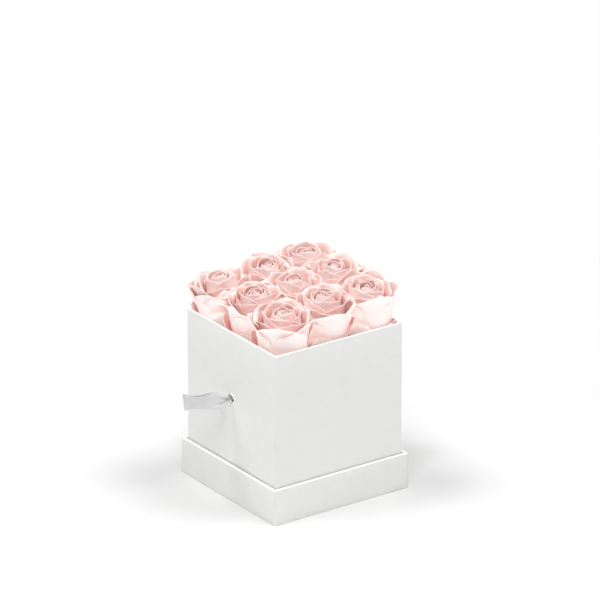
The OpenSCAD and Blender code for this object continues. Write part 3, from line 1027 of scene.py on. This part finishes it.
class FLOWERBOX_OT_roses(bpy.types.Operator):
    """Nine preserved roses, petal by petal"""
    bl_idname = "flowerbox.roses"
    bl_label = "Roses"

    def execute(self, context):
        look = context.scene.flowerbox_roses
        frames = {i: rose_frame(i) for i in ROSES}
        rim_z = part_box("box_wrap")[1][2] / MM
        inner = inner_half("box_lining")
        for i in ROSES:
            rng = np.random.RandomState(look.seed * 100 + i)
            self.bloom(i, frames, rng, look, rim_z, inner)
        return {"FINISHED"}

    def bloom(self, i, frames, rng, look, rim_z, inner):
        base, axis, length = frames[i]
        side = np.cross([0, 1, 0], axis)
        side /= np.linalg.norm(side)
        basis = np.stack([side, np.cross(axis, side), axis], axis=1)
        scale = look.cup_radius / MM / WHORLS[0][2]
        groups = bloom_petals(rng, length, scale, BLOOM_LOOKS[i], math.atan2(side[1], side[0]))
        for name, petals in groups.items():
            points, faces, uvs = [], [], []
            for p in petals:
                grid = petal_sheet(p, rng)
                grid = grid @ basis.T + base
                grid = self.make_room(grid, i, frames, rim_z, inner)
                shell, shell_faces, uv = thicken(grid, look.petal_thickness / MM)
                first = sum(len(q) for q in points)
                faces += [tuple(a + first for a in f) for f in shell_faces]
                points.append(shell)
                # each petal goes only so far up the claw-to-lip colours; the guard petals' half share is
                # painted shade
                uvs.append(uv * np.array([1.0, p["colour_reach"]]))
            mesh = mesh_from(f"rose_{i}_{name}_sheets", np.concatenate(points), faces)
            give_uv(mesh, np.concatenate(uvs))
            give_reverse(mesh, len(petals))
            finish, slot = PETAL_FINISH[name]
            new_piece(f"rose_{i}_{name}_sheets", mesh, finish, "box", slot, f"rose_{i}_{name}")

    @staticmethod
    def make_room(grid, i, frames, rim_z, inner):
        """Presses a petal back from its neighbours' share of the box and from the box's walls."""
        base, axis, _ = frames[i]
        points = grid.reshape(-1, 3).copy()
        for j, (other, other_axis, _) in frames.items():
            if j == i:
                continue
            own = base[:2] + axis[:2] / axis[2] * (points[:, 2:] - base[2])
            far = other[:2] + other_axis[:2] / other_axis[2] * (points[:, 2:] - other[2])
            away = far - own
            gap = np.linalg.norm(away, axis=1)
            if gap.min() > 75:
                continue
            away /= gap[:, None]
            across = (points[:, :2] - own) @ np.array([-away[0, 1], away[0, 0]]) * (1 if i < j else -1)
            # the two blooms lock into each other along a wavy front
            wave = np.sin(0.2 * points[:, 2] + 0.16 * across + 2.4 * (i + j)) * (2.2 if i < j else -2.2)
            over = ((points[:, :2] - own) * away).sum(1) - (gap / 2 - 0.4 + wave)
            give = np.where(over > 0, over * 0.8, 0.0)
            points[:, :2] -= away * give[:, None]
        # inside the walls below the rim, and hardly past them above it
        free = smooth(points[:, 2], rim_z - 1.0, rim_z + 16.0)
        limit = inner - 0.6 + 4.5 * free
        for c in (0, 1):
            over = np.abs(points[:, c]) - limit
            points[:, c] -= np.sign(points[:, c]) * np.where(over > 0, over * (0.97 - 0.2 * free), 0.0)
        return points.reshape(grid.shape)


def give_reverse(mesh, petals):
    """Marks the outward skin of each petal, whose points come first, as its reverse."""
    layer = mesh.attributes.new("reverse", "FLOAT", "POINT")
    size = len(mesh.vertices) // petals
    layer.data.foreach_set("value", np.tile(np.arange(size) < size // 2, petals).astype(np.float32))


def give_uv(mesh, uv):
    """Writes a UV per vertex to every corner."""
    layer = mesh.uv_layers.new(name="UVMap")
    index = np.zeros(len(mesh.loops), dtype=int)
    mesh.loops.foreach_get("vertex_index", index)
    layer.data.foreach_set("uv", uv[index].reshape(-1))


class FLOWERBOX_OT_insert(bpy.types.Operator):
    """Foam block, card tray, calyxes and stems"""
    bl_idname = "flowerbox.insert"
    bl_label = "Insert"

    def execute(self, context):
        dress("foam_block", "floral_foam")
        dress("rose_tray", "tray_card")
        for i in ROSES:
            dress(f"rose_{i}_calyx", "sepal")
            dress(f"rose_{i}_stem", "rose_stem")
        return {"FINISHED"}


# ---- panel and registration

class FLOWERBOX_PT_panel(bpy.types.Panel):
    """Lists the steps in order"""
    bl_idname = "FLOWERBOX_PT_panel"
    bl_label = "Flower box"
    bl_space_type = "VIEW_3D"
    bl_region_type = "UI"
    bl_category = "Flower box"

    def draw(self, context):
        for step in STEPS:
            self.layout.operator(step.bl_idname)
        for name in SETTINGS:
            group = getattr(context.scene, name)
            for key in group.__annotations__:
                self.layout.prop(group, key)


SETTINGS = {
    "flowerbox_paper": FlowerBoxPaper,
    "flowerbox_roses": FlowerBoxRoses,
    "flowerbox_ribbon": FlowerBoxRibbon,
    "flowerbox_stage": FlowerBoxStage,
}
STEPS = [
    FLOWERBOX_OT_stage,
    FLOWERBOX_OT_lid,
    FLOWERBOX_OT_box,
    FLOWERBOX_OT_eyelets,
    FLOWERBOX_OT_ribbons,
    FLOWERBOX_OT_insert,
    FLOWERBOX_OT_roses,
]


CLASSES = [*SETTINGS.values(), *STEPS, FLOWERBOX_PT_panel]


def register():
    for cls in CLASSES:
        bpy.utils.register_class(cls)
    for name, cls in SETTINGS.items():
        setattr(bpy.types.Scene, name, bpy.props.PointerProperty(type=cls))


def unregister():
    for name in SETTINGS:
        delattr(bpy.types.Scene, name)
    for cls in reversed(CLASSES):
        bpy.utils.unregister_class(cls)


def main():
    register()
    for step in STEPS:
        group, name = step.bl_idname.split(".")
        getattr(getattr(bpy.ops, group), name)()


if __name__ == "__main__":
    main()
